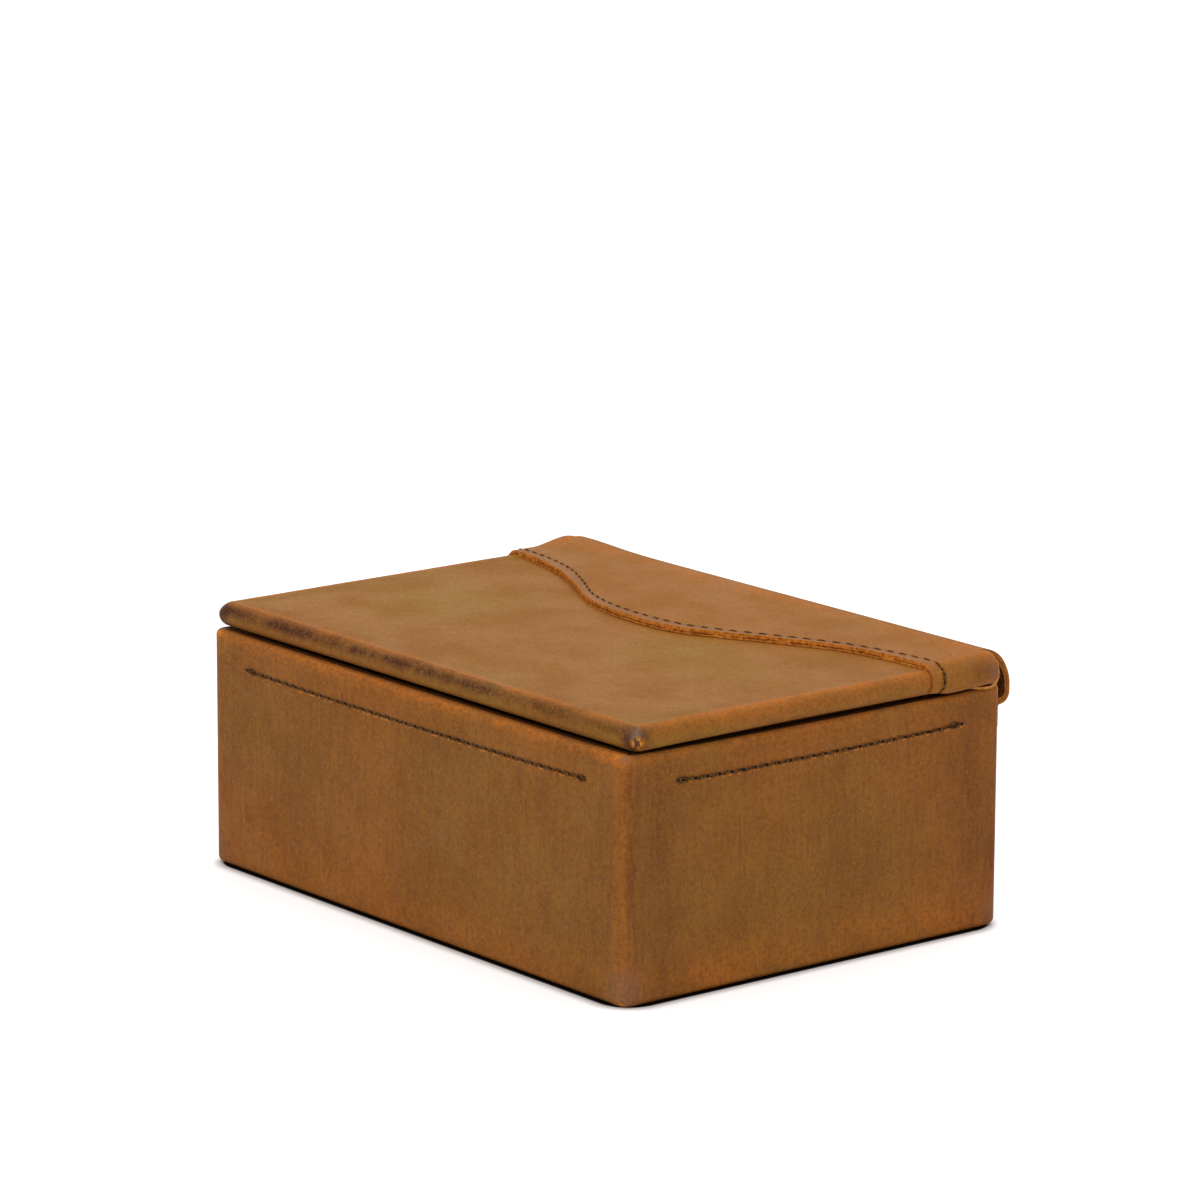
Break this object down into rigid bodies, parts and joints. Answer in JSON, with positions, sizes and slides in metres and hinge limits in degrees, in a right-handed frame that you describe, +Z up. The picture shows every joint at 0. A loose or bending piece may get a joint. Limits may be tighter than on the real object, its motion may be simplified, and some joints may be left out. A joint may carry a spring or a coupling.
{
  "type": "desk box with lift lid",
  "caption": "Leather covered rectangular desk box with one open compartment under a lift lid that hangs at the rear on a looped leather hinge.",
  "frame": {"origin": "middle of the box's footprint, on the underside that it stands on", "axes": "+X to the right along the front, +Y to the rear where the hinge is, +Z up"},
  "size_m": [0.2492, 0.1807, 0.1005],
  "materials": {
    "outer_leather": "oiled pull-up leather, semi matte",
    "lining_leather": "matte suede",
    "board": "grey fibre board",
    "thread": "waxed thread"
  },
  "bodies": {
    "tray": {"base_board": "board", "front_board": "board", "rear_board": "board", "left_board": "board", "right_board": "board", "wall_cover": "outer_leather", "base_cover": "outer_leather", "floor_lining": "lining_leather", "front_lining": "lining_leather", "rear_lining": "lining_leather", "left_lining": "lining_leather", "right_lining": "lining_leather", "front_stitching": "thread", "rear_stitching": "thread", "left_stitching": "thread", "right_stitching": "thread", "hinge_anchor": "outer_leather", "hinge_loop": "outer_leather"},
    "lid": {"lid_board": "board", "lid_cover": "outer_leather", "lid_lining": "lining_leather", "lid_yoke": "outer_leather", "yoke_stitching": "thread"}
  },
  "joints": [
    {"name": "lid_hinge", "type": "hinge", "parent": "tray", "child": "lid", "pos_m": [0, 0.088, 0.0892], "axis": [-1, 0, 0], "range_deg": [0, 105], "deforming": ["hinge_loop"]}
  ]
}
